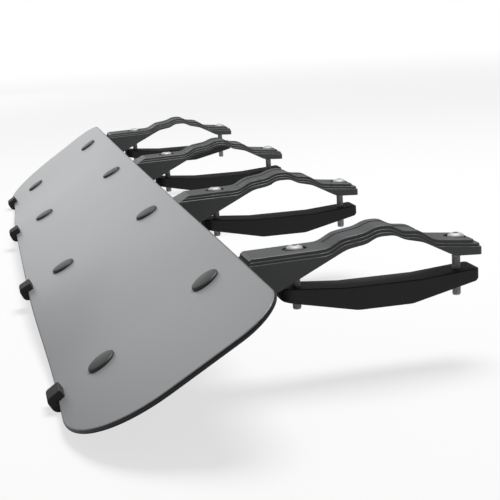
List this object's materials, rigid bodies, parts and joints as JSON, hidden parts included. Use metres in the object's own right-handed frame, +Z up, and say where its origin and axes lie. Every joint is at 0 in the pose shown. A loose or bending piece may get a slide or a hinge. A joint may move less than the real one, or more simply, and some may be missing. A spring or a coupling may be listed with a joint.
{
  "type": "roof rack wind fairing",
  "caption": "Bowed plate that lies at a slope in front of a roof crossbar, bolted to wave-shaped clamp arms that grip the bar from above with beams below, on rubber feet.",
  "frame": {"origin": "mid-span, on the line where the arms sit on the crossbar's crest", "axes": "+X along the crossbar to the side that is near in the picture, +Y to the rear of the car, +Z up"},
  "size_m": [1.0044, 0.2968, 0.099],
  "materials": {
    "panel": "satin silver-grey paint, dark edge",
    "arm": "charcoal moulded plastic with a fine grain",
    "clamp": "black moulded plastic",
    "steel": "bright zinc-plated steel",
    "cap": "dark grey satin",
    "rubber": "matt black rubber"
  },
  "bodies": {
    "root": {"fairing_panel": "panel", "upper_arm_1": "arm", "lower_clamp_1": "clamp", "front_bolt_1": "steel", "rear_bolt_1": "steel", "front_nut_1": "steel", "rear_nut_1": "steel", "upper_panel_bolt_1": "cap", "lower_panel_bolt_1": "cap", "upper_panel_nut_1": "steel", "lower_panel_nut_1": "steel", "rubber_foot_1": "rubber", "upper_arm_2": "arm", "lower_clamp_2": "clamp", "front_bolt_2": "steel", "rear_bolt_2": "steel", "front_nut_2": "steel", "rear_nut_2": "steel", "upper_panel_bolt_2": "cap", "lower_panel_bolt_2": "cap", "upper_panel_nut_2": "steel", "lower_panel_nut_2": "steel", "rubber_foot_2": "rubber", "upper_arm_3": "arm", "lower_clamp_3": "clamp", "front_bolt_3": "steel", "rear_bolt_3": "steel", "front_nut_3": "steel", "rear_nut_3": "steel", "upper_panel_bolt_3": "cap", "lower_panel_bolt_3": "cap", "upper_panel_nut_3": "steel", "lower_panel_nut_3": "steel", "rubber_foot_3": "rubber", "upper_arm_4": "arm", "lower_clamp_4": "clamp", "front_bolt_4": "steel", "rear_bolt_4": "steel", "front_nut_4": "steel", "rear_nut_4": "steel", "upper_panel_bolt_4": "cap", "lower_panel_bolt_4": "cap", "upper_panel_nut_4": "steel", "lower_panel_nut_4": "steel", "rubber_foot_4": "rubber"}
  },
  "joints": []
}
